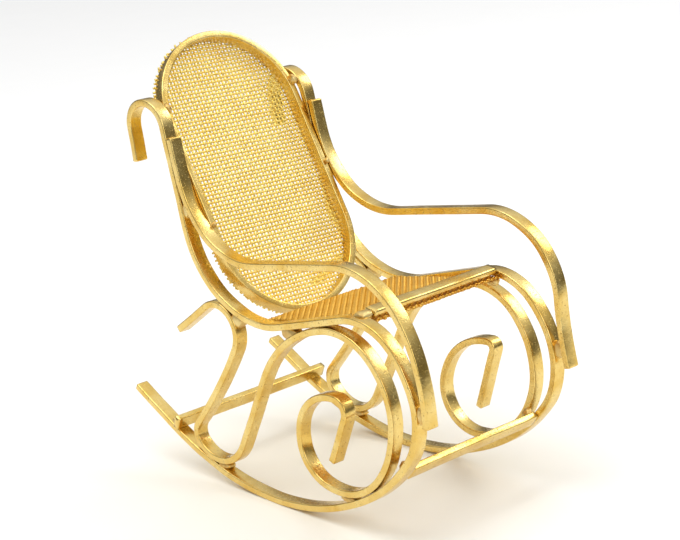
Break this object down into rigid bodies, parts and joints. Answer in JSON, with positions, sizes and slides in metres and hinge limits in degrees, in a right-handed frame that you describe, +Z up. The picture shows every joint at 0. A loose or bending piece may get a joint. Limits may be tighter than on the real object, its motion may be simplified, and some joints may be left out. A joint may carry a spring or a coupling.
{
  "type": "miniature rocking chair",
  "caption": "Dolls'-house rocking chair of bent flat brass strip with spiral sides, hooked uprights, curved arms, a leaning rounded back and a seat of woven wire.",
  "frame": {"origin": "on the floor, under the middle of the chair's box", "axes": "+Z up, the sitter faces -Y, +X towards the sitter's left"},
  "size_m": [0.0398, 0.0876, 0.0862],
  "materials": {
    "strip": "satin pale gold, hand bent, fine scratches and pits",
    "mesh": "woven round wire, satin",
    "solder": "dull pale solder under the same gold plating, rough"
  },
  "bodies": {
    "root": {"frame_right": "strip", "scroll_right": "strip", "arm_right": "strip", "frame_left": "strip", "scroll_left": "strip", "arm_left": "strip", "back_loop": "strip", "seat_front_bar": "strip", "stretcher_front": "strip", "stretcher_rear": "strip", "back_mesh": "mesh", "seat_mesh": "mesh", "solder_arm_top_right": "solder", "solder_arm_front_right": "solder", "solder_scroll_front_right": "solder", "solder_scroll_seat_right": "solder", "solder_scroll_rocker_right": "solder", "solder_scroll_curl_right": "solder", "solder_stretcher_front_right": "solder", "solder_stretcher_rear_right": "solder", "solder_back_upper_right": "solder", "solder_back_lower_right": "solder", "solder_seat_right": "solder", "solder_arm_top_left": "solder", "solder_arm_front_left": "solder", "solder_scroll_front_left": "solder", "solder_scroll_seat_left": "solder", "solder_scroll_rocker_left": "solder", "solder_scroll_curl_left": "solder", "solder_stretcher_front_left": "solder", "solder_stretcher_rear_left": "solder", "solder_back_upper_left": "solder", "solder_back_lower_left": "solder", "solder_seat_left": "solder", "solder_bar_right": "solder"}
  },
  "joints": []
}
